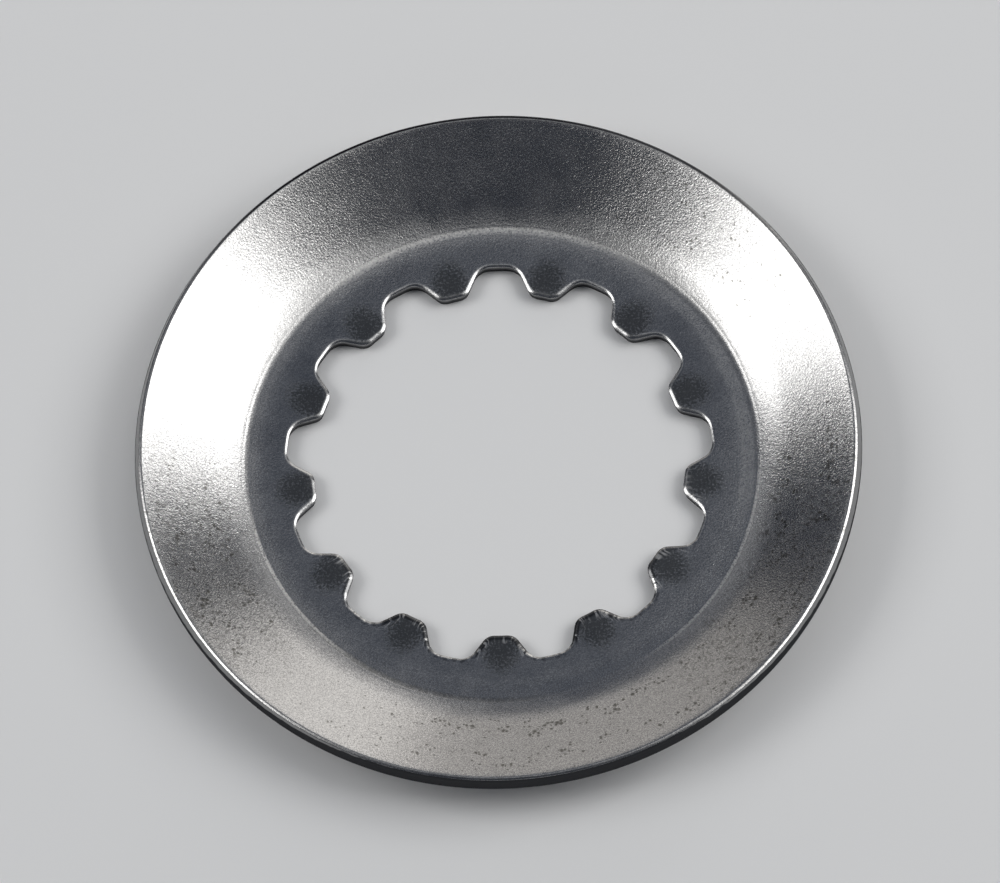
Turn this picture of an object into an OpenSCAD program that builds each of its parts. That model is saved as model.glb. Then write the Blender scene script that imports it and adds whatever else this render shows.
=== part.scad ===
// Dished lock washer for a splined shaft: one stamping of spring steel.
// A flat ring with internal spline teeth turns up at a crease, and sweeps on into a cone with a raised rim.
// The origin is on the axis, in the plane that the flat ring rests on, with +Z towards the rim.

/* [Sheet] */
// Diameter over the upper edge of the raised rim
rim_d = 42; // [40:0.5:46]
// Thickness of the spring steel sheet
sheet_t = 0.9; // [0.8:0.05:1.1]

/* [Bend] */
// Diameter of the crease at which the flat ring turns up
crease_d = 30.1; // [29.5:0.1:31]
// Slope of the sheet past the crease, in degrees
crease_angle = 20; // [14:1:22]
// Radius on the hollow, upper side of the crease
crease_inner_r = 1.2; // [0.6:0.1:1.6]
// Straight run from the crease to the sweep
straight_l = 0.1; // [0.1:0.05:0.3]
// Radius on the upper side of the sweep, which takes the sheet on to the slope of the cone
sweep_inner_r = 9; // [6:0.5:9.5]
// Slope of the cone above the flat ring, in degrees
cone_angle = 29.5; // [26:0.5:32]

/* [Spline teeth] */
// Number of teeth, which is that of the shaft's splines
tooth_count = 13; // [11:1:13]
// Diameter of the circle that the tooth tips lie on
tip_d = 21.9; // [21.5:0.1:22.3]
// Diameter of the circle that the bottoms of the gaps lie on
root_d = 25.2; // [24.9:0.1:25.6]
// Width of a tooth across its tip, from corner to corner
tooth_tip_w = 1.55; // [1.4:0.05:2]
// Width of a tooth at its foot, on the root circle
tooth_foot_w = 3.8; // [3.5:0.05:4]
// Radius on the two corners of a tooth's tip
tip_corner_r = 0.8; // [0.3:0.05:0.9]
// Radius in the two corners at a tooth's foot
foot_corner_r = 1; // [0.4:0.05:1.2]
// Direction of the first tooth from the axis, in degrees
first_tooth_angle = -90; // [-180:5:180]

/* [Sheared edge] */
// Radius that the press rolls onto the upper edge of the rim
edge_roll_r = 0.15; // [0.05:0.05:0.2]
// Share of the thickness that is sheared clean before the steel tears
land_share = 0.3; // [0.25:0.05:0.6]
// Slope of the torn part of the edge, in degrees
tear_angle = 5; // [0:1:8]

/* [Hidden] */
$fn = 144;

// Margin by which one shape runs past another that it cuts or joins
over = 0.5;
// How far an arc runs past tangent, so that it always meets the faces that it joins
arc_slack = 0.0002;

rim_r = rim_d / 2;
tip_r = tip_d / 2;
root_r = root_d / 2;

// Corners of the upper face, before they are rounded, from the crease out to the rim
crease_corner = [crease_d / 2, sheet_t];
crease_reach = crease_inner_r * tan(crease_angle / 2);
sweep_reach = sweep_inner_r * tan((cone_angle - crease_angle) / 2);
sweep_corner = crease_corner + (crease_reach + straight_l + sweep_reach) * along(crease_angle);
cone_len = (rim_r - sweep_corner[0]) / cos(cone_angle);
land_h = sheet_t * land_share;
tear_depth = (sheet_t - land_h) * tan(tear_angle);

// One flank of a tooth that points along +X, from its tip to its foot
tip_corner = [sqrt(pow(tip_r, 2) - pow(tooth_tip_w / 2, 2)), tooth_tip_w / 2];
foot_corner = [sqrt(pow(root_r, 2) - pow(tooth_foot_w / 2, 2)), tooth_foot_w / 2];
flank_dir = unit(foot_corner - tip_corner);
// Square to the flank, from the steel into the gap
gap_dir = [-flank_dir[1], flank_dir[0]];
tip_centre = slide_to(tip_corner - tip_corner_r * gap_dir, flank_dir, tip_r + tip_corner_r);
foot_centre = slide_to(tip_corner + foot_corner_r * gap_dir, flank_dir, root_r - foot_corner_r);

function unit(v) = v / norm(v);

// Directions in the section for a slope: out along the sheet, and up square to it
function along(slope) = [cos(slope), sin(slope)];
function square_up(slope) = [-sin(slope), cos(slope)];

// Point at the same height above both faces that meet in a corner of the section
function above_corner(corner, slope_in, slope_out, up) =
    corner + up / cos((slope_out - slope_in) / 2) * square_up((slope_in + slope_out) / 2);

// Point at a distance out along the cone's upper face and a height above it
function cone_point(out, up) = sweep_corner + out * along(cone_angle) + up * square_up(cone_angle);

// Point reached from p along dir, at distance r from the axis
function slide_to(p, dir, r) =
    let (b = p * dir)
    p + (sqrt(b * b - p * p + r * r) - b) * dir;

// What lies between a sharp corner and the arc that rounds it
module corner_waste(centre, r, dir_a, dir_b) {
    reach = r + over / 2;
    translate(centre)
        difference() {
            polygon([[0, 0], reach * dir_a, reach * (dir_a + dir_b), reach * dir_b]);
            circle(r = r + arc_slack);
        }
}

// The same at one face of a bend, whose two faces are arcs about one centre above the sheet
module bend_waste(corner, slope_in, slope_out, inner_r, depth) {
    centre = above_corner(corner, slope_in, slope_out, inner_r);
    corner_waste(centre, inner_r + depth, -square_up(slope_in), -square_up(slope_out));
}

// Waste at the crease and at the sweep, at a depth below the upper face
module bends(depth) {
    bend_waste(crease_corner, 0, crease_angle, crease_inner_r, depth);
    bend_waste(sweep_corner, crease_angle, cone_angle, sweep_inner_r, depth);
}

module both_sides() {
    children();
    mirror([0, 1]) children();
}

// Outline of one tooth, run on past the root circle into the ring
module tooth_outline() {
    inner = tip_corner - over * flank_dir;
    outer = foot_corner + over * flank_dir;
    difference() {
        polygon([inner, outer, [outer[0], -outer[1]], [inner[0], -inner[1]]]);
        circle(r = tip_r);
        both_sides()
            corner_waste(tip_centre, tip_corner_r, gap_dir, -unit(tip_centre));
    }
    both_sides()
        corner_waste(foot_centre, foot_corner_r, -gap_dir, unit(foot_centre));
}

module spline_hole_outline() {
    difference() {
        circle(r = root_r);
        for (i = [0 : tooth_count - 1])
            rotate(first_tooth_angle + i * 360 / tooth_count) tooth_outline();
    }
}

// Section of the whole sheet, from the axis to the rim
module sheet_section() {
    roll_centre = cone_point(cone_len - edge_roll_r, -edge_roll_r);
    difference() {
        union() {
            polygon([
                [0, 0],
                above_corner(crease_corner, 0, crease_angle, -sheet_t),
                above_corner(sweep_corner, crease_angle, cone_angle, -sheet_t),
                cone_point(cone_len - tear_depth, -sheet_t),
                cone_point(cone_len, -land_h),
                cone_point(cone_len, 0),
                sweep_corner,
                crease_corner,
                [0, sheet_t]
            ]);
            bends(0);
        }
        bends(sheet_t);
        corner_waste(roll_centre, edge_roll_r, along(cone_angle), square_up(cone_angle));
    }
}

module washer() {
    color([0.56, 0.55, 0.53])
        difference() {
            rotate_extrude() sheet_section();
            translate([0, 0, -over])
                linear_extrude(height = sheet_t + 2 * over) spline_hole_outline();
        }
}

washer();
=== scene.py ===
import bpy
import math
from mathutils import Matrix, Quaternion, Vector


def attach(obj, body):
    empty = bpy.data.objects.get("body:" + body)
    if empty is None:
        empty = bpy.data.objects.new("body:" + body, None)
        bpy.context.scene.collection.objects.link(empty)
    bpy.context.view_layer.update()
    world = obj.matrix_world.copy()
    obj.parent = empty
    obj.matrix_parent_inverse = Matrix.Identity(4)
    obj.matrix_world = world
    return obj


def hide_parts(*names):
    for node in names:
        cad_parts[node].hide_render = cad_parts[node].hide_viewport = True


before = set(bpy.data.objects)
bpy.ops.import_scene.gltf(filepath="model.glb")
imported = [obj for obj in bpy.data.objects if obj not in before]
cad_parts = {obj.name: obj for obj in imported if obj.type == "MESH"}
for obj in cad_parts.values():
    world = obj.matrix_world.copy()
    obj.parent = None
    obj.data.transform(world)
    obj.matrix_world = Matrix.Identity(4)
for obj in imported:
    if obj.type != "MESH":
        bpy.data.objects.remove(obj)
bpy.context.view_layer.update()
mm = 0.001
print("frame loaded:", sorted(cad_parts))

# the camera, as the photograph was taken: nearly overhead, with a long lens
view = {
    "aim": (0.04, 1.31, 0.9),       # mm, the point in the middle of the picture
    "azimuth": -84.88,              # degrees, from +X
    "elevation": 67.22,
    "distance": 462.5,              # mm
    "roll": -5.96,
    "lens": 281.75,
    "sensor": 36.0,
}


def direction(azimuth, elevation):
    a, e = math.radians(azimuth), math.radians(elevation)
    return Vector((math.cos(e) * math.cos(a), math.cos(e) * math.sin(a), math.sin(e)))


def makeCamera(s):
    data = bpy.data.cameras.new("camera")
    camera = bpy.data.objects.new("camera", data)
    bpy.context.scene.collection.objects.link(camera)
    outward = direction(s["azimuth"], s["elevation"])
    camera.location = (Vector(s["aim"]) + outward * s["distance"]) * mm
    camera.rotation_mode = "QUATERNION"
    roll = Quaternion((0, 0, 1), math.radians(s["roll"]))
    camera.rotation_quaternion = outward.to_track_quat("Z", "Y") @ roll
    data.lens = s["lens"]
    data.sensor_width = s["sensor"]
    data.clip_start = 0.01
    bpy.context.scene.camera = camera


makeCamera(view)
print("camera placed")


class NodeMaker:
    # makes the nodes of one tree; a value may be plain, or the socket of another node
    def __init__(self, tree):
        self.tree = tree

    def feed(self, socket, value):
        if isinstance(value, bpy.types.NodeSocket):
            self.tree.links.new(value, socket)
        else:
            socket.default_value = value

    def node(self, kind, inputs=None, **settings):
        made = self.tree.nodes.new(kind)
        for name, value in settings.items():
            setattr(made, name, value)
        for name, value in (inputs or {}).items():
            self.feed(made.inputs[name], value)
        return made

    def maths(self, operation, *values, clamp=False):
        inputs = dict(enumerate(values))
        return self.node("ShaderNodeMath", inputs, operation=operation, use_clamp=clamp).outputs[0]

    def fold(self, operation, values):
        # the same operation from the first value on to the last
        total, *others = values
        for value in others:
            total = self.maths(operation, total, value)
        return total

    def times(self, *values):
        return self.fold("MULTIPLY", values)

    def highest(self, *values):
        return self.fold("MAXIMUM", values)

    def between(self, value, low, high):
        # 0 at low and 1 at high, with a smooth rise; low may be the larger of the two
        inputs = {"Value": value, "From Min": low, "From Max": high}
        return self.node("ShaderNodeMapRange", inputs, interpolation_type="SMOOTHSTEP").outputs[0]

    def span(self, value, start, full, fade, end):
        # 1 from full to fade, 0 before start and after end
        return self.times(self.between(value, start, full), self.between(value, end, fade))

    def blend(self, share, first, second):
        made = self.node("ShaderNodeMix", {"Factor": share}, data_type="RGBA")
        for socket, colour in zip([i for i in made.inputs if i.type == "RGBA"], (first, second)):
            self.feed(socket, colour if isinstance(colour, bpy.types.NodeSocket) else (*colour, 1))
        return [o for o in made.outputs if o.type == "RGBA"][0]

    def apart(self, vector):
        return self.node("ShaderNodeSeparateXYZ", {0: vector}).outputs

    def joined(self, **parts):
        return self.node("ShaderNodeCombineXYZ", parts).outputs[0]

    def length(self, x, y):
        return self.maths("SQRT", self.maths("ADD", self.times(x, x), self.times(y, y)))


# soft panels round the washer: direction and spread in degrees, as seen from the washer.
# The steel mirrors them all but the one that is there for the floor.
panels = {
    "leftBox": {"azimuth": 179.5, "elevation": 44.5, "spread": (31, 27), "radiance": 3.1, "tint": (1, 1, 1)},
    "rightBox": {"azimuth": 9.2, "elevation": 43, "spread": (38, 30), "radiance": 3.1, "tint": (1, 1, 1)},
    "backWindow": {"azimuth": 69.5, "elevation": 16, "spread": (24, 30), "radiance": 1.08,
                   "tint": (1, 0.97, 0.93)},
    "floorLamp": {"azimuth": 95, "elevation": 74, "spread": (50, 50), "radiance": 0.30, "tint": (1, 1, 1),
                  "mirrored": False},
    "backWall": {"azimuth": 104, "elevation": 11, "spread": (46, 22), "radiance": 0.545,
                 "tint": (1, 0.95, 0.885)},
}
panelDistance = 700                 # mm


def makePanel(name, s):
    width, height = [2 * panelDistance * mm * math.tan(math.radians(a / 2)) for a in s["spread"]]
    data = bpy.data.lights.new(name, "AREA")
    data.shape = "RECTANGLE"
    data.size, data.size_y = width, height
    data.energy = s["radiance"] * math.pi * width * height
    data.color = s["tint"]
    panel = bpy.data.objects.new(name, data)
    panel.visible_glossy = s.get("mirrored", True)
    bpy.context.scene.collection.objects.link(panel)
    outward = direction(s["azimuth"], s["elevation"])
    panel.location = outward * panelDistance * mm
    panel.rotation_mode = "QUATERNION"
    panel.rotation_quaternion = outward.to_track_quat("Z", "Y")


for panelName, panelSpec in panels.items():
    makePanel(panelName, panelSpec)

room = {
    "colour": (0.0185, 0.0245, 0.038),
    "glows": {                      # direction, degrees off it at which a glow has gone and is full, colour
        "backWall": (95, 50, 48, 20, (0.026, 0.033, 0.048)),
        "ceiling": (95, 86, 19, 4, (0.32, 0.32, 0.32)),
        "overLeftBox": (184, 60, 20, 4, (0.55, 0.55, 0.54)),
        "overRightBox": (3, 62, 22, 5, (1.00, 1.00, 0.99)),
        "front": (-85, 33, 16, 5, (0.50, 0.50, 0.50)),
        "backRight": (62, 50, 18, 3, (0.42, 0.41, 0.39)),
        "backRightLow": (84, 37, 16, 4, (0.15, 0.145, 0.135)),
        "backLeft": (126, 43, 17, 3, (0.24, 0.235, 0.225)),
    },
}


def makeRoom(s):
    world = bpy.data.worlds.new("room")
    bpy.context.scene.world = world
    world.use_nodes = True
    make = NodeMaker(world.node_tree)
    ray = make.node("ShaderNodeTexCoord").outputs["Generated"]
    colour = s["colour"]
    for azimuth, elevation, gone, full, tint in s["glows"].values():
        inputs = {0: ray, 1: direction(azimuth, elevation)}
        near = make.node("ShaderNodeVectorMath", inputs, operation="DOT_PRODUCT").outputs["Value"]
        share = make.between(near, math.cos(math.radians(gone)), math.cos(math.radians(full)))
        glow = make.node("ShaderNodeVectorMath", {0: tint, "Scale": share}, operation="SCALE").outputs[0]
        colour = make.node("ShaderNodeVectorMath", {0: colour, 1: glow}, operation="ADD").outputs[0]
    make.feed(world.node_tree.nodes["Background"].inputs["Color"], colour)


makeRoom(room)

floorSpec = {
    "side": 3000,                   # mm
    "colour": (0.87, 0.87, 0.865),
    "roughness": 0.9,
    "specular": 0.2,
}


def makeFloor(s):
    half = s["side"] / 2 * mm
    mesh = bpy.data.meshes.new("floor")
    corners = [(-half, -half, 0), (half, -half, 0), (half, half, 0), (-half, half, 0)]
    mesh.from_pydata(corners, [], [(0, 1, 2, 3)])
    floor = bpy.data.objects.new("floor", mesh)
    bpy.context.scene.collection.objects.link(floor)
    material = bpy.data.materials.new("paleFloor")
    material.use_nodes = True
    shader = material.node_tree.nodes["Principled BSDF"]
    shader.inputs["Base Color"].default_value = (*s["colour"], 1)
    shader.inputs["Roughness"].default_value = s["roughness"]
    shader.inputs["Specular IOR Level"].default_value = s["specular"]
    mesh.materials.append(material)


makeFloor(floorSpec)
print("lights, room and floor made")

# the washer: sizes in mm and degrees, as on the stamped part
washerSpec = {
    "teeth": 13,
    "firstTooth": -90,
    "thickness": 0.9,
    "tipRadius": 10.95,
    "rootRadius": 12.6,
    "tipWidth": 1.55,
    "footWidth": 3.8,
    "tipCorner": 0.8,
    "footCorner": 1.0,
    "ringRadius": 13.6,             # where the toothed outline has become a circle
    "rimRadius": 21.05,             # at the upper corner of the rim, before it is rolled
    "rimHeight": 4.065,
    "turns": [                      # how the ring turns up: from and to which radius, share of the angle
        (13.9, 14.75, 0.15),
        (14.84, 15.27, 0.53),
        (15.3, 17.1, 0.32),
    ],
    # rolled edges: first radius, slope of the straight part, its length, and the radius down to the wall
    "rimRoll": (0.13, 52, 0.10, 0.05),
    "gapRoll": (0.22, 28, 0.07, 0.04),
    "tipRoll": (0.40, 28, 0.08, 0.04),
    "tipReach": 0.5,                # how far out from its tip a tooth's edge is rolled as at the tip
    "landShare": 0.3,               # of the thickness, down to where the clean part of a wall ends
    "leastLand": 0.07,
    "tearAngle": 9,
    "lowerCorner": 0.04,
    "patch": (11.8, 1.45, 1.1),     # dark patch on each tooth: radius of its middle, half length, half width
}

# into how many faces each stretch of the tooth's outline and of the section is divided
meshSteps = {
    "gap": 5, "footCorner": 8, "flank": 5, "tipCorner": 9, "tip": 3,
    "roll": 4, "land": 2, "tear": 5, "lowerCorner": 2,
    "ringUp": 8, "turns": (4, 9, 10), "cone": 9, "coneDown": 5, "curveDown": 12, "ringDown": 4,
}


def spread(count, start=0.0, end=1.0):
    return [start + (end - start) * i / count for i in range(count + 1)]


def ease(x, start, end):
    u = min(max((x - start) / (end - start), 0.0), 1.0)
    return u * u * (3 - 2 * u)


def slideTo(point, along, radius):
    b = point.dot(along)
    return point + along * (math.sqrt(b * b - point.dot(point) + radius * radius) - b)


def arcPoints(centre, radius, start, end, count, inward):
    # points of an arc with the direction into the steel at each; inward is -1 where the steel is inside
    points = []
    for a in spread(count, start, end):
        ray = Vector((math.cos(a), math.sin(a)))
        points.append((centre + ray * radius, ray * inward))
    return points


def toothOutline(s):
    # a tooth that points along +X, from the middle of one gap to the middle of the next
    tip = Vector((math.sqrt(s["tipRadius"] ** 2 - (s["tipWidth"] / 2) ** 2), s["tipWidth"] / 2))
    foot = Vector((math.sqrt(s["rootRadius"] ** 2 - (s["footWidth"] / 2) ** 2), s["footWidth"] / 2))
    flank = (foot - tip).normalized()
    gap = Vector((-flank.y, flank.x))
    tipCentre = slideTo(tip - gap * s["tipCorner"], flank, s["tipRadius"] + s["tipCorner"])
    footCentre = slideTo(tip + gap * s["footCorner"], flank, s["rootRadius"] - s["footCorner"])
    tipTurn = math.atan2(tipCentre.y, tipCentre.x)
    footTurn = math.atan2(footCentre.y, footCentre.x)
    gapTurn = math.atan2(gap.y, gap.x)
    axis = Vector((0, 0))
    half = arcPoints(axis, s["tipRadius"], 0, tipTurn, meshSteps["tip"], 1)
    tipSteps = meshSteps["tipCorner"]
    half += arcPoints(tipCentre, s["tipCorner"], tipTurn + math.pi, gapTurn, tipSteps, -1)[1:]
    start = tipCentre + gap * s["tipCorner"]
    end = footCentre - gap * s["footCorner"]
    half += [(start.lerp(end, t), -gap) for t in spread(meshSteps["flank"])[1:]]
    footSteps = meshSteps["footCorner"]
    half += arcPoints(footCentre, s["footCorner"], gapTurn - math.pi, footTurn, footSteps, 1)[1:]
    half += arcPoints(axis, s["rootRadius"], footTurn, math.pi / s["teeth"], meshSteps["gap"], 1)[1:]
    mirrored = [(Vector((p.x, -p.y)), Vector((n.x, -n.y))) for p, n in half[:0:-1]]
    return mirrored + half


def shearedEdge(s, roll):
    # a sheared edge from the upper face down to the lower one: distance into the steel, height,
    # 1 on the wall, and how far down the torn part (less than 0 above it, 1 at the bottom)
    t = s["thickness"]
    first, slope, straight, last = roll
    a = math.radians(slope)
    width = first * math.sin(a) + straight * math.cos(a) + last * (1 - math.sin(a))
    depth = first * (1 - math.cos(a)) + straight * math.sin(a) + last * math.cos(a)
    landEnd = max(t * s["landShare"], depth + s["leastLand"])
    tornHeight = t - landEnd
    tearDepth = tornHeight * math.tan(math.radians(s["tearAngle"]))
    corner = s["lowerCorner"]
    rows = []
    for u in spread(meshSteps["roll"], 0, a):
        rows.append((width - first * math.sin(u), t - first * (1 - math.cos(u)), 0))
    for u in spread(meshSteps["roll"], a, math.pi / 2)[:-1]:
        rows.append((last * (1 - math.sin(u)), t - depth + last * math.cos(u), 0))
    rows += [(0, t - depth - u * (landEnd - depth), 1) for u in spread(meshSteps["land"])]
    for u in spread(meshSteps["tear"])[1:]:
        rows.append((tearDepth * u, tornHeight - u * (tornHeight - corner), 1))
    for u in spread(meshSteps["lowerCorner"], 0, math.pi / 2)[1:]:
        rows.append((tearDepth + corner * (1 - math.cos(u)), corner * (1 - math.sin(u)), 1))
    return [(d, z, wall, 1 - z / tornHeight) for d, z, wall in rows]


def turnedShare(s, r):
    return sum(share * ease(r, start, end) for start, end, share in s["turns"])


def bendCurve(s, cone, radii):
    # the upper face from the flat ring to where the cone is straight: radius, height, slope
    step = 0.02                     # mm, short enough to follow the bend
    curve, r, z = [], s["ringRadius"], s["thickness"]
    for target in radii:
        while r < target - step / 2:
            z += math.tan(cone * turnedShare(s, r + step / 2)) * step
            r += step
        curve.append((target, z, cone * turnedShare(s, target)))
    return curve


def solveCone(s):
    # the slope of the straight part that brings the rim to its height, from a first guess
    cone, bendEnd = math.radians(28), s["turns"][-1][1]
    for _ in range(8):              # more than enough rounds to settle
        z = bendCurve(s, cone, [bendEnd])[0][1]
        cone = math.atan((s["rimHeight"] - z) / (s["rimRadius"] - bendEnd))
    return cone


def ringProfile(s):
    # upper face, rim wall and lower face as points of radius and height
    t, cone = s["thickness"], solveCone(s)
    radii = [s["ringRadius"]]
    for steps, (start, end, _) in zip(meshSteps["turns"], s["turns"]):
        radii += spread(steps, start, end)
    upper = [Vector((r, z)) for r, z, _ in bendCurve(s, cone, radii)]
    out = Vector((math.cos(cone), math.sin(cone)))
    up = Vector((-out.y, out.x))
    corner = Vector((s["rimRadius"], s["rimHeight"]))
    rim = []
    for d, z, wall, torn in shearedEdge(s, s["rimRoll"]):
        rim.append((corner - out * d + up * (z - t), wall, torn))
    upper += [upper[-1].lerp(rim[0][0], u) for u in spread(meshSteps["cone"])[1:-1]]
    coarse = bendCurve(s, cone, spread(meshSteps["curveDown"], s["ringRadius"], radii[-1]))
    under = [Vector((r + t * math.sin(a), z - t * math.cos(a))) for r, z, a in coarse]
    lower = [rim[-1][0].lerp(under[-1], u) for u in spread(meshSteps["coneDown"])[1:-1]]
    return upper, rim, lower + under[::-1]


farFromEdge = 2.0                   # mm, for all that lies outside the toothed ring


def outlineDistance(point, outline):
    best = math.inf
    for (a, _), (b, _) in zip(outline, outline[1:]):
        ab = b - a
        u = min(max((point - a).dot(ab) / ab.dot(ab), 0.0), 1.0)
        best = min(best, (point - a - ab * u).length)
    return best


def pitchSection(s, point, inward, ray, towardTip, profile):
    # the closed section from one point of the hole's outline out to the rim and back: place,
    # 1 on a face, 1 on a wall, and how far down the torn part
    upper, rim, lower = profile
    hole = shearedEdge(s, [g + (t - g) * towardTip for g, t in zip(s["gapRoll"], s["tipRoll"])])
    rolled, lifted = [point + inward * row[0] for row in (hole[0], hole[-1])]
    section = []
    for u in spread(meshSteps["ringUp"])[1:-1]:                     # upper ring, from the hole out
        p = rolled.lerp(ray * s["ringRadius"], u)
        section.append((p.x, p.y, s["thickness"], 1, 0, 0))
    section += [(ray.x * p.x, ray.y * p.x, p.y, 1, 0, 0) for p in upper]
    section += [(ray.x * p.x, ray.y * p.x, p.y, 1 - wall, wall, torn) for p, wall, torn in rim]
    section += [(ray.x * p.x, ray.y * p.x, p.y, 0, 0, 0) for p in lower]
    for u in spread(meshSteps["ringDown"])[-2:0:-1]:                # lower ring, back to the hole
        p = lifted.lerp(ray * s["ringRadius"], u)
        section.append((p.x, p.y, 0, 0, 0, 0))
    for d, z, wall, torn in reversed(hole):                         # and up the hole's wall
        p = point + inward * d
        section.append((p.x, p.y, z, 1 - wall, wall, torn))
    return section


def buildPitch(s):
    # one tooth's share of the washer: a closed section swept from gap to gap
    outline, profile = toothOutline(s), ringProfile(s)
    patchRadius, patchLength, patchWidth = s["patch"]
    marks = {name: [] for name in ("wall", "torn", "face", "edge", "patch", "along", "towardTip", "station")}
    points, along = [], 0.0
    for j, (point, inward) in enumerate(outline):
        turn = math.pi / s["teeth"] * (2 * j / (len(outline) - 1) - 1)
        ray = Vector((math.cos(turn), math.sin(turn)))
        if j:
            along += (point - outline[j - 1][0]).length
        towardTip = ease(point.length, s["rootRadius"], s["tipRadius"] + s["tipReach"])
        section = pitchSection(s, point, inward, ray, towardTip, profile)
        for x, y, z, face, wall, torn in section:
            flat = Vector((x, y))
            inner = flat.length < s["ringRadius"]
            edge = outlineDistance(flat, outline) if inner else farFromEdge
            patch = math.exp(-((x - patchRadius) / patchLength) ** 2 - (y / patchWidth) ** 2)
            points.append((x * mm, y * mm, z * mm))
            found = (wall, torn, face, edge, patch, along, towardTip, flat.length)
            for values, value in zip(marks.values(), found):
                values.append(float(value))
    rows = len(section)
    faces = []
    for start in range(0, len(points) - rows, rows):
        for i in range(rows):
            k = (i + 1) % rows
            faces.append((start + i, start + k, start + rows + k, start + rows + i))
    mesh = bpy.data.meshes.new("toothPitch")
    mesh.from_pydata(points, [], faces)
    for name, values in marks.items():
        mesh.attributes.new(name, "FLOAT", "POINT").data.foreach_set("value", values)
    return bpy.data.objects.new("toothPitch", mesh)


middleRadius = 17                   # mm, between the walls of the hole and of the rim

# how uneven the press leaves the sheet; lengths in mm.
# A span is where something starts, is full, begins to fade and ends
pressSpec = {
    "seam": 0.001,                  # within this distance the pitches are joined
    "seed": 4,
    "swellHeight": 0.04,            # how far the cone sinks here and there
    "swellScale": 90.0,             # per metre
    "swellFrom": (1.1, 2.2),        # heights at which that starts and is full
    "tearDepth": 0.035,             # how far the torn part of a wall is eaten away
    "tearScale": 2500.0,            # per metre
    "tearSpan": (0.0, 0.2, 0.88, 1.0),          # down the torn part
    "creaseShift": 0.25,            # how far out the crease lies towards +X, while the rim stays round
    "creaseSpan": (13.7, 14.9, 15.6, 20.8),     # radii
    "outwards": (0.4, 1.0),         # X over radius at which that starts and is full
    "inwards": (-0.3, -0.8),        # and at which the crease lies in instead, by this share
    "inwardShare": 0.2,
}


def sheetShift(make, given, s):
    # how far each point moves; nothing moves where the washer rests
    def field(scale, detail):
        inputs = {"Scale": scale, "Detail": detail, "W": given["Seed"]}
        return make.node("ShaderNodeTexNoise", inputs, noise_dimensions="4D").outputs[0]

    def named(name):
        made = make.node("GeometryNodeInputNamedAttribute", {"Name": name}, data_type="FLOAT")
        return [o for o in made.outputs if o.enabled][0]

    x, y, z = make.apart(make.node("GeometryNodeInputPosition").outputs[0])
    radius = make.length(x, y)
    start, full = [height * mm for height in s["swellFrom"]]
    sink = make.times(field(given["Swell Scale"], 1.0), given["Swell Height"])
    sink = make.times(sink, make.between(z, start, full), -1.0)
    # the torn part of each wall is eaten away into the steel: inwards at the rim, outwards at the hole
    torn = make.times(named("wall"), make.span(named("torn"), *s["tearSpan"]))
    bite = make.times(make.times(field(given["Tear Scale"], 2.0), given["Tear Depth"]), torn)
    outer = make.maths("GREATER_THAN", radius, middleRadius * mm)
    push = make.maths("DIVIDE", make.times(bite, make.maths("MULTIPLY_ADD", outer, -2.0, 1.0)), radius)
    # the crease lies a little to one side
    side = make.maths("DIVIDE", x, radius)
    side = make.maths("MULTIPLY_ADD", make.between(side, *s["inwards"]), -s["inwardShare"],
                      make.between(side, *s["outwards"]))
    near = make.span(radius, *[reach * mm for reach in s["creaseSpan"]])
    shift = make.times(near, side, given["Crease Shift"])
    push = make.maths("ADD", push, make.maths("DIVIDE", shift, radius))
    parts = {0: make.joined(Z=sink), 1: make.joined(X=make.times(x, push), Y=make.times(y, push))}
    return make.node("ShaderNodeVectorMath", parts, operation="ADD").outputs[0]


def ringTree(s):
    # repeats one tooth pitch round the axis, joins the seams and makes the pressed sheet slightly uneven
    tree = bpy.data.node_groups.new("toothRing", "GeometryNodeTree")
    sockets = {"Geometry": "Geometry", "Teeth": "Int", "First Tooth": "Float", "Seam": "Float",
               "Swell Height": "Float", "Swell Scale": "Float", "Tear Depth": "Float", "Tear Scale": "Float",
               "Crease Shift": "Float", "Seed": "Int", "Material": "Material"}
    for name, kind in sockets.items():
        tree.interface.new_socket(name, in_out="INPUT", socket_type="NodeSocket" + kind)
    tree.interface.new_socket("Geometry", in_out="OUTPUT", socket_type="NodeSocketGeometry")
    make = NodeMaker(tree)
    given = make.node("NodeGroupInput").outputs

    def step(kind, inputs, **settings):
        return make.node("GeometryNode" + kind, inputs, **settings).outputs[0]

    index = make.node("GeometryNodeInputIndex").outputs[0]
    pitch = make.maths("DIVIDE", 2 * math.pi, given["Teeth"])
    turn = make.joined(Z=make.maths("MULTIPLY_ADD", index, pitch, given["First Tooth"]))
    chance = make.node("FunctionNodeRandomValue", {"Seed": given["Seed"]})
    luck = [o for o in chance.outputs if o.enabled][0]
    points = step("Points", {"Count": given["Teeth"]})
    ring = step("InstanceOnPoints", {"Points": points, "Instance": given["Geometry"], "Rotation": turn})
    ring = step("StoreNamedAttribute", {"Geometry": ring, "Name": "toothLuck", "Value": luck},
                data_type="FLOAT", domain="INSTANCE")
    ring = step("RealizeInstances", {"Geometry": ring})
    ring = step("MergeByDistance", {"Geometry": ring, "Distance": given["Seam"]})
    ring = step("SetPosition", {"Geometry": ring, "Offset": sheetShift(make, given, s)})
    ring = step("SetShadeSmooth", {"Geometry": ring})
    ring = step("SetMaterial", {"Geometry": ring, "Material": given["Material"]})
    make.node("NodeGroupOutput", {"Geometry": ring})
    return tree


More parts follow.
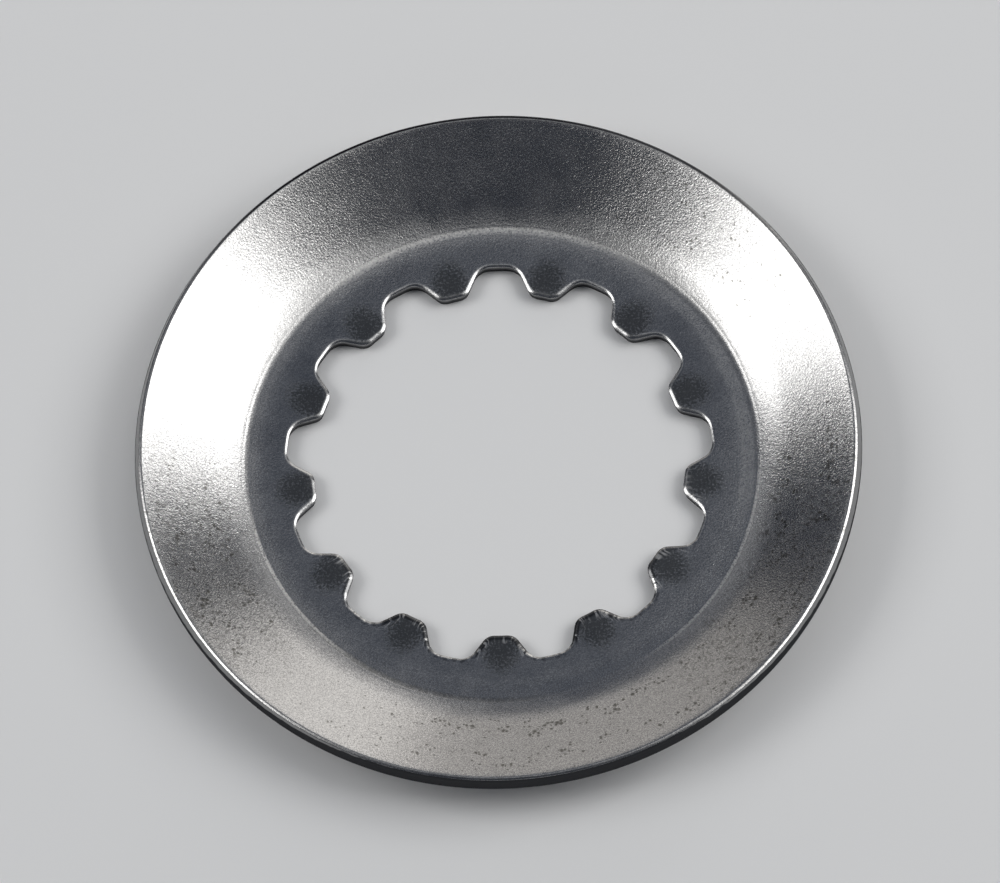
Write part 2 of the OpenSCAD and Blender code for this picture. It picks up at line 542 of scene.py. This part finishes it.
def applyTree(source, tree, values, name):
    # the tree's result on the source, as a plain mesh object of its own
    bpy.context.scene.collection.objects.link(source)
    modifier = source.modifiers.new("toothRing", "NODES")
    modifier.node_group = tree
    for item in tree.interface.items_tree:
        if item.item_type == "SOCKET" and item.in_out == "INPUT" and item.name in values:
            modifier[item.identifier] = values[item.name]
    graph = bpy.context.evaluated_depsgraph_get()
    mesh = bpy.data.meshes.new_from_object(source.evaluated_get(graph))
    mesh.name = name
    piece = bpy.data.objects.new(name, mesh)
    bpy.context.scene.collection.objects.link(piece)
    bpy.data.objects.remove(source)
    return piece


class SteelMaker(NodeMaker):
    # the same for the steel, with what its marks share; radii and distances are in mm
    def __init__(self, tree):
        super().__init__(tree)
        self.place = self.node("ShaderNodeTexCoord").outputs["Object"]
        x, y, _ = self.apart(self.place)
        radius = self.length(x, y)
        self.cosine, self.sine = self.maths("DIVIDE", x, radius), self.maths("DIVIDE", y, radius)
        self.radius = self.maths("DIVIDE", radius, mm)
        self.outer = self.maths("GREATER_THAN", self.radius, middleRadius)
        names = ("wall", "face", "edge", "station", "towardTip")
        self.wall, self.face, self.edge, self.station, self.towardTip = map(self.named, names)

    def named(self, name):
        return self.node("ShaderNodeAttribute", attribute_name=name).outputs["Fac"]

    def field(self, size, detail=2.0, vector=None, rough=0.5, distortion=0.0, output=0):
        inputs = {"Vector": self.place if vector is None else vector, "Scale": 1 / (size * mm),
                  "Detail": detail, "Roughness": rough, "Distortion": distortion}
        return self.node("ShaderNodeTexNoise", inputs).outputs[output]

    def drawnOut(self, stretch, around=16):
        # object coordinates bent round the axis, with what is radial made stretch times as long;
        # what lies around keeps its size at that many mm from the axis
        return self.joined(X=self.times(self.cosine, around * mm), Y=self.times(self.sine, around * mm),
                           Z=self.times(self.radius, mm / stretch))

    def towards(self, azimuth):
        # the cosine of the angle from a direction
        a = math.radians(azimuth)
        return self.maths("ADD", self.times(self.cosine, math.cos(a)), self.times(self.sine, math.sin(a)))

    def within(self, azimuth, gone, full):
        far, near = math.cos(math.radians(gone)), math.cos(math.radians(full))
        return self.between(self.towards(azimuth), far, near)

    def sides(self, given, least=0.0):
        # each is a direction, how far off it a mark has gone and is full, and its share
        shares = [self.times(self.within(*side), share) for *side, share in given]
        return self.highest(least, *shares)

    def band(self, middle, halfWidth, core=0.4):
        # a ring about the axis that fades outside its core
        away = self.maths("ABSOLUTE", self.maths("SUBTRACT", self.station, middle))
        return self.between(away, halfWidth, halfWidth * core)

    def lines(self, given):
        shares = [self.times(self.band(*ring), self.within(*side), share) for ring, side, share in given]
        return self.highest(0.0, *shares)


# rubbed steel, for the rubbed edges and for the painted highlight along the crease
rubbedAndHighlitSteel = (0.88, 0.86, 0.82)
pittedSteel = (0.15, 0.145, 0.13)
# torn steel, also the colour of painted shade on the rim, the teeth and the land in the hole
tornAndShadedSteel = (0.045, 0.046, 0.050)

# the steel's finish; lengths in mm. A side is a direction in degrees from +X, how far off it a mark has gone
# and is full, and in a list of sides its share. A fade is where a mark has gone and where it is full
steelSpec = {
    "darkColour": (0.40, 0.395, 0.39),
    "lightColour": (0.69, 0.68, 0.665),
    "speckFade": (0.3, 0.7),        # from dark to light specks
    "mottleShare": 0.4,             # how much the larger clouds add to them
    # what lies over that, from the lowest layer up: share and colour
    "layers": {
        "inner": (0.45, (0.185, 0.205, 0.24)),  # painted shade towards the teeth
        "patch": (0.88, (0.085, 0.09, 0.095)),
        "stains": (0.75, pittedSteel),
        "pits": (0.9, pittedSteel),
        # painted shade along the foot of the crease
        "creaseShade": (1, (0.12, 0.115, 0.10)),
        "rubbedEdge": (1, rubbedAndHighlitSteel),
        # rubbed crease with painted highlight on some sides
        "rubbedCreaseHighlight": (1, rubbedAndHighlitSteel),
        # painted shade on the far rim's upper corner
        "dullRim": (1, tornAndShadedSteel),
        # painted shade on the edges of the near teeth
        "dullTeeth": (0.85, tornAndShadedSteel),
        "rimLand": (1, (0.30, 0.30, 0.30)),
        "darkWall": (1, tornAndShadedSteel),             # the torn part of each wall, and painted shade on the clean land in the hole
    },
    "roughness": 0.21,
    # what each mark adds to it
    "rougher": {"mottle": 0.08, "patch": 0.08, "rubbedCreaseHighlight": 0.15, "torn": 0.35},
    # how high each unevenness is
    "heights": {"grain": 0.0092, "ripple": 0.006, "streaks": 0.0016, "strokes": 0.001, "pits": -0.0015,
                "tornGrain": 0.02},
    "sheet": {
        "mottle": 1.6,              # sizes of the clouds, specks, grain, ripple and streaks
        "speck": 0.085,
        "grain": 0.115,
        "ripple": 0.6,
        "streak": 0.14,
        "streakLength": 9,          # times as long outwards as across
        "sweep": (15.0, 15.3, 16.4, 17.2),      # radii at which the streaks start, are full, fade and end
        "plainGrain": 0.75,         # share of the grain's height, and what the coarse sides and streaks add
        "coarseSides": ((92, 62, 25, 1.15), (-22, 45, 15, 1.0), (200, 40, 15, 0.7)),
        "streakGrain": -0.35,
        "grainByEdge": (0.0, 0.3),
        "grainByRim": (20.95, 20.8),            # radii
        "innerShadeRadii": (14.9, 13.2),
    },
    "patch": {                      # dark and ragged, on each tooth
        "ragged": 0.15,
        "raggedFade": (0.36, 0.64),
        "raggedShares": (0.35, 0.75),           # what is left at least, and what the raggedness adds
        "fade": (0.10, 0.52),
        "byEdge": (0.05, 0.25),     # distances from the edge
    },
    "pits": {
        "cell": 0.26,               # each pit lies in a cell of this size
        "rings": ((17.3, 1.0), (19.6, 0.9)),    # loose rings of pits: radius and half width
        "ringShare": 0.7,
        "sides": ((-82, 60, 0, 0.8), (203, 30, 0, 1.0), (-18, 34, 0, 1.0), (48, 28, 0, 0.5)),
        "least": 0.1,               # share of pits on the other sides
        "clump": 0.9,
        "clumpLength": 0.5,         # outwards, against across
        "clumpFade": (0.47, 0.60),
        "start": (15.6, 16.4),      # radii
        "shakeSize": 0.12,          # what makes their outlines uneven, and by how much
        "shake": 0.16,
        "luck": (1.3, -0.28),       # a pit's share of its cell is its luck times the first plus the second
        "leastSize": 0.02,
        "core": 0.3,                # share of a pit that is full
    },
    "stains": {
        "size": 0.26,
        "fade": (0.52, 0.62),
        "sides": ((203, 32, 12, 0.7), (-26, 34, 14, 1.0)),
        "start": (15.4, 16.2),      # radii
        "mottleFade": (0.40, 0.55),             # in which of the clouds they lie
    },
    # two kinds of line along the crease, a rubbed line with painted highlight and a painted shade, each
    # broken up by a field of its size;
    # a line is its radius and half width, its side and its share
    # partly rubbed steel, partly painted highlight on the sides given
    "rubbedCreaseHighlight": {
        "size": 0.11,
        "rough": 0.6,
        "fade": (0.30, 0.62),
        "lines": (((14.97, 0.30), (95, 46, 22), 0.8), ((15.03, 0.12), (213, 25, 10), 0.9),
                  ((15.08, 0.12), (-27, 32, 15), 0.8), ((14.5, 0.45), (18, 42, 18), 0.3)),
    },
    # painted shade along the foot of the crease, on two sides
    "creaseShade": {
        "size": 0.22,
        "rough": 0.7,
        "fade": (0.30, 0.55),
        "lines": (((14.92, 0.18), (40, 50, 20), 0.2), ((15.05, 0.22), (248, 38, 18), 0.4)),
    },
    "walls": {
        "tornGrain": 0.12,
        "border": 0.5,              # the border between the clean and the torn part wanders with this size
        "borderSwing": 0.3,         # and by this share of the torn part
        "borderFade": (-0.04, 0.05),
        "landSide": -85,            # where the rim's clean land is narrowest
        "landSwing": (0.35, 0.85),  # how much less land there is there, and how much more a quarter turn on
        "holeLandShadeShare": 0.8,       # how much painted shade the land gets in the hole
    },
    "edges": {
        "stroke": 0.24,             # across; the strokes run square to the edge
        "strokeDrift": 0.12,        # how fast they change along their length, against across
        "strokeJump": 40,           # how far apart the strokes of two teeth lie in the field
        "strokeFade": (0.50, 0.62),
        "strokeLength": 0.6,
        "strokeCore": 0.5,          # share of it that is full
        "gapStroke": 0.4,           # share of it that is left in the gaps
        "strokeLuck": (0.35, 1.6, 0.2),         # its unevenness: size, swing and least
        "strokeSide": (-85, 95, 60),
        "strokeShare": 0.75,        # how bright the strokes are
        "strokeFoot": (0.05, 0.12),             # distances from the edge at which they start and are full
        "rubbedWidth": (0.25, 0.08),            # the rolled edge round the teeth is rubbed bright
        "rubbedShare": 0.35,
        "dullTeeth": (-88, 72, 40),             # where the teeth have painted shade along their edges
        "teethShadeWidth": (0.36, 0.26),
        "teethShadeByTip": (0.2, 0.5),                # how far towards the tips that starts and is full
        "gapShade": (0.3, (0.44, 0.60), 0.6),   # and in the gaps, here and there: size, fade and share
        "dullRim": (92, 62, 35),                # where the upper corner of the rim gets painted shade
        "farRimShadeRadii": (20.92, 21.0),
    },
}


def sheetMarks(make, s):
    # the plain sheet: clouds, specks, grain, a coarser ripple, and streaks where the bend sweeps up
    sweep = make.span(make.radius, *s["sweep"])
    share = make.maths("ADD", make.sides(s["coarseSides"]), s["plainGrain"])
    share = make.maths("MULTIPLY_ADD", sweep, s["streakGrain"], share)
    share = make.times(share, make.between(make.edge, *s["grainByEdge"]),
                       make.between(make.radius, *s["grainByRim"]))
    return {
        "mottle": make.field(s["mottle"]),
        "specks": make.field(s["speck"], rough=0.6),
        "grain": make.times(make.field(s["grain"], rough=0.6, distortion=0.3), share),
        "ripple": make.field(s["ripple"], 1.0),
        "streaks": make.times(make.field(s["streak"], 1.0, make.drawnOut(s["streakLength"])), sweep),
        # painted shade on the ring towards the teeth, in a bluish tone
        "inner": make.between(make.radius, *s["innerShadeRadii"]),
    }


def toothPatch(make, s):
    # the dark, ragged patch on each tooth
    least, more = s["raggedShares"]
    ragged = make.between(make.field(s["ragged"], rough=0.7), *s["raggedFade"])
    ragged = make.maths("MULTIPLY_ADD", ragged, more, least)
    patch = make.between(make.times(make.named("patch"), ragged), *s["fade"])
    return make.times(patch, make.between(make.edge, *s["byEdge"]), make.face)


def strewnPits(make, s):
    # small pits, strewn in loose rings about the cone and thick in clumps
    rings = make.highest(*[make.band(*ring) for ring in s["rings"]])
    rings = make.maths("MULTIPLY_ADD", rings, s["ringShare"], 1 - s["ringShare"])
    clumps = make.field(s["clump"], vector=make.drawnOut(s["clumpLength"]), rough=0.6)
    strewn = make.times(make.sides(s["sides"], s["least"]), rings, make.between(clumps, *s["clumpFade"]),
                        make.between(make.station, *s["start"]))
    shake = make.field(s["shakeSize"], 1.0, output="Color")
    inputs = {0: shake, 1: [s["shake"] * mm] * 3, 2: make.place}
    shaken = make.node("ShaderNodeVectorMath", inputs, operation="MULTIPLY_ADD").outputs[0]
    inputs = {"Vector": shaken, "Scale": 1 / (s["cell"] * mm)}
    cells = make.node("ShaderNodeTexVoronoi", inputs, voronoi_dimensions="2D").outputs
    luck = make.maths("MULTIPLY_ADD", make.apart(cells["Color"])[0], *s["luck"])
    size = make.highest(make.times(strewn, luck), s["leastSize"])
    return make.times(make.between(cells["Distance"], size, make.times(size, s["core"])), make.face)


def stains(make, s, mottle):
    # small stains among the pits
    blots = make.between(make.field(s["size"], 3.0, rough=0.7, distortion=0.6), *s["fade"])
    return make.times(blots, make.sides(s["sides"]), make.face, make.between(make.station, *s["start"]),
                      make.between(mottle, *s["mottleFade"]))


def creaseLine(make, s):
    # a line along the crease, broken up
    broken = make.between(make.field(s["size"], rough=s["rough"]), *s["fade"])
    return make.times(make.lines(s["lines"]), broken, make.face)


def wallMarks(make, s):
    # the torn part of the sheared walls, with an uneven upper border that wanders round the rim
    lessLand, moreLand = s["landSwing"]
    facing = make.towards(s["landSide"])
    wander = make.maths("MULTIPLY_ADD", make.times(facing, facing), lessLand + moreLand, -moreLand)
    border = make.maths("SUBTRACT", make.named("torn"), s["borderSwing"] / 2)
    border = make.maths("MULTIPLY_ADD", make.field(s["border"]), s["borderSwing"], border)
    border = make.maths("ADD", border, make.times(wander, make.outer))
    torn = make.times(make.wall, make.between(border, *s["borderFade"]))
    land = make.maths("SUBTRACT", make.wall, torn, clamp=True)
    # painted shade on the clean land of the hole's wall
    holeLandShade = make.times(land, make.maths("SUBTRACT", 1.0, make.outer), s["holeLandShadeShare"])
    return {
        "torn": torn,
        "tornGrain": make.times(make.field(s["tornGrain"], 3.0), torn),
        "rimLand": make.times(land, make.outer),
        "darkWall": make.highest(torn, holeLandShade),
    }


def edgeMarks(make, s):
    # strokes where the edge was drawn down, square to the outline
    lined = make.joined(X=make.times(make.named("along"), mm),
                        Y=make.times(make.edge, s["strokeDrift"] * mm),
                        Z=make.times(make.named("toothLuck"), s["strokeJump"] * mm))
    size, swing, least = s["strokeLuck"]
    luck = make.maths("MULTIPLY_ADD", make.field(size, 1.0), swing, least)
    reach = make.maths("MULTIPLY_ADD", make.towardTip, 1 - s["gapStroke"], s["gapStroke"])
    reach = make.times(reach, luck, s["strokeLength"])
    strokes = make.times(make.between(make.field(s["stroke"], 1.0, lined), *s["strokeFade"]), make.face,
                         make.between(make.maths("DIVIDE", make.edge, reach), 1.0, s["strokeCore"]),
                         make.within(*s["strokeSide"]))
    rubbed = make.times(make.between(make.edge, *s["rubbedWidth"]), make.face, s["rubbedShare"])
    # on one side of the hole the teeth get painted shade between the strokes, and the gaps only here and
    # there
    size, fade, share = s["gapShade"]
    shaded = make.highest(make.between(make.towardTip, *s["teethShadeByTip"]),
                        make.times(make.between(make.field(size), *fade), share))
    unlit = make.maths("SUBTRACT", 1.0, make.times(strokes, make.between(make.edge, *s["strokeFoot"])))
    return {
        "strokes": strokes,
        "rubbedEdge": make.highest(rubbed, make.times(strokes, s["strokeShare"])),
        "dullTeeth": make.times(shaded, make.between(make.edge, *s["teethShadeWidth"]), make.face,
                                make.within(*s["dullTeeth"]), unlit),
        # painted shade on the upper corner of the rim, on the far side
        "dullRim": make.times(make.within(*s["dullRim"]), make.between(make.radius, *s["farRimShadeRadii"])),
    }


def springSteel(s):
    material = bpy.data.materials.new("springSteel")
    material.use_nodes = True
    make = SteelMaker(material.node_tree)
    marks = {**sheetMarks(make, s["sheet"]), **wallMarks(make, s["walls"]), **edgeMarks(make, s["edges"])}
    marks["patch"] = toothPatch(make, s["patch"])
    marks["pits"] = strewnPits(make, s["pits"])
    marks["stains"] = stains(make, s["stains"], marks["mottle"])
    # rubbed line along the crease, with painted highlight on some sides
    marks["rubbedCreaseHighlight"] = creaseLine(make, s["rubbedCreaseHighlight"])
    # painted shade along the crease
    marks["creaseShade"] = creaseLine(make, s["creaseShade"])

    clouds = make.times(make.maths("SUBTRACT", marks["mottle"], 0.5), s["mottleShare"])
    lightness = make.maths("ADD", make.between(marks["specks"], *s["speckFade"]), clouds)
    colour = make.blend(lightness, s["darkColour"], s["lightColour"])
    for name, (share, tint) in s["layers"].items():
        colour = make.blend(make.times(marks[name], share), colour, tint)
    roughness, height = s["roughness"], 0.0
    for name, more in s["rougher"].items():
        roughness = make.maths("MULTIPLY_ADD", marks[name], more, roughness)
    for name, high in s["heights"].items():
        height = make.maths("MULTIPLY_ADD", marks[name], high, height)
    bump = make.node("ShaderNodeBump", {"Height": height, "Distance": mm, "Strength": 1.0}).outputs[0]
    shader = material.node_tree.nodes["Principled BSDF"]
    shader.inputs["Metallic"].default_value = 1.0
    for name, value in {"Base Color": colour, "Roughness": roughness, "Normal": bump}.items():
        make.feed(shader.inputs[name], value)
    return material


ringValues = {
    "Teeth": washerSpec["teeth"],
    "First Tooth": math.radians(washerSpec["firstTooth"]),
    "Seam": pressSpec["seam"] * mm,
    "Swell Height": pressSpec["swellHeight"] * mm,
    "Swell Scale": pressSpec["swellScale"],
    "Tear Depth": pressSpec["tearDepth"] * mm,
    "Tear Scale": pressSpec["tearScale"],
    "Crease Shift": pressSpec["creaseShift"] * mm,
    "Seed": pressSpec["seed"],
    "Material": springSteel(steelSpec),
}
washer = applyTree(buildPitch(washerSpec), ringTree(pressSpec), ringValues, "lockWasher")
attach(washer, "root")
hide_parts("washer")
print("washer made:", len(washer.data.vertices), "points,", len(washer.data.polygons), "faces")

bpy.context.scene.view_settings.view_transform = "Standard"
